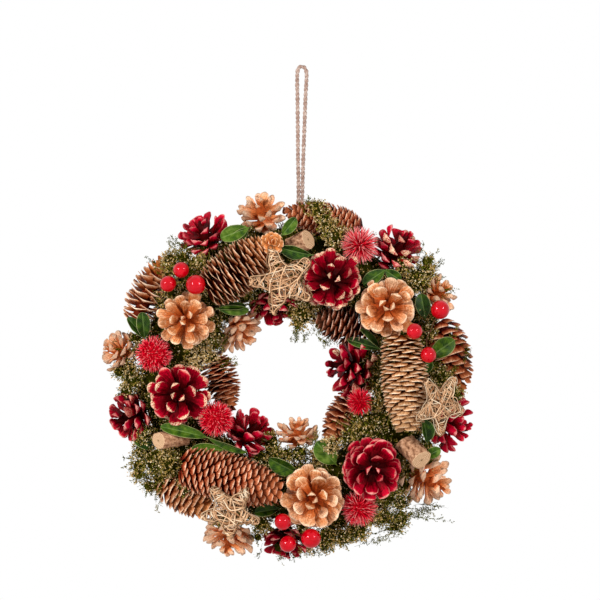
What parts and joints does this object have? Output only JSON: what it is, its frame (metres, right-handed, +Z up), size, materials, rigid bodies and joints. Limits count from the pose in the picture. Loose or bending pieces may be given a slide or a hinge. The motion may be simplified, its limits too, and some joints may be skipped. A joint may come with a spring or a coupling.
{
  "type": "pinecone wreath",
  "caption": "Round straw-ring wreath of open pine cones, spruce cones, dyed thistles, vine stars, berries, leaves and moss, hung by a loop of jute twine.",
  "frame": {"origin": "inside top of the twine loop, where the hook it hangs on bears", "axes": "+Z up, -Y out of the wreath's front towards the room, +X to the right as seen from the front"},
  "size_m": [0.3604, 0.1038, 0.4769],
  "materials": {
    "straw": "matt",
    "moss": "fibrous",
    "natural_cone": "waxed",
    "burgundy_cone": "lacquered",
    "spruce_cone": "satin",
    "thistle": "dyed, matt",
    "vine": "matt",
    "branch": "bark, with sawn ends",
    "berry": "high gloss",
    "leaf": "preserved, satin",
    "jute": "hairy twisted twine"
  },
  "bodies": {
    "root": {"straw_ring": "straw", "moss_top_right": "moss", "moss_bottom_right": "moss", "moss_bottom_left": "moss", "moss_top_left": "moss", "hanging_twine": "jute", "natural_cone_01": "natural_cone", "natural_cone_02": "natural_cone", "natural_cone_03": "natural_cone", "natural_cone_04": "natural_cone", "natural_cone_05": "natural_cone", "natural_cone_06": "natural_cone", "natural_cone_07": "natural_cone", "natural_cone_08": "natural_cone", "natural_cone_09": "natural_cone", "natural_cone_10": "natural_cone", "burgundy_cone_01": "burgundy_cone", "burgundy_cone_02": "burgundy_cone", "burgundy_cone_03": "burgundy_cone", "burgundy_cone_04": "burgundy_cone", "burgundy_cone_05": "burgundy_cone", "burgundy_cone_06": "burgundy_cone", "burgundy_cone_07": "burgundy_cone", "burgundy_cone_08": "burgundy_cone", "burgundy_cone_09": "burgundy_cone", "burgundy_cone_10": "burgundy_cone", "burgundy_cone_11": "burgundy_cone", "spruce_cone_01": "spruce_cone", "spruce_cone_02": "spruce_cone", "spruce_cone_03": "spruce_cone", "spruce_cone_04": "spruce_cone", "spruce_cone_05": "spruce_cone", "spruce_cone_06": "spruce_cone", "spruce_cone_07": "spruce_cone", "spruce_cone_08": "spruce_cone", "spruce_cone_09": "spruce_cone", "spruce_cone_10": "spruce_cone", "thistle_01": "thistle", "thistle_02": "thistle", "thistle_03": "thistle", "thistle_04": "thistle", "thistle_05": "thistle", "vine_star_01": "vine", "vine_star_02": "vine", "vine_star_03": "vine", "branch_stub_01": "branch", "branch_stub_02": "branch", "branch_stub_03": "branch", "berry_pick_01": "berry", "berry_pick_02": "berry", "berry_pick_03": "berry", "leaf_sprig_01": "leaf", "leaf_sprig_02": "leaf", "leaf_sprig_03": "leaf", "leaf_sprig_04": "leaf", "leaf_sprig_05": "leaf", "leaf_sprig_06": "leaf", "leaf_sprig_07": "leaf", "leaf_sprig_08": "leaf", "leaf_sprig_09": "leaf"}
  },
  "joints": []
}
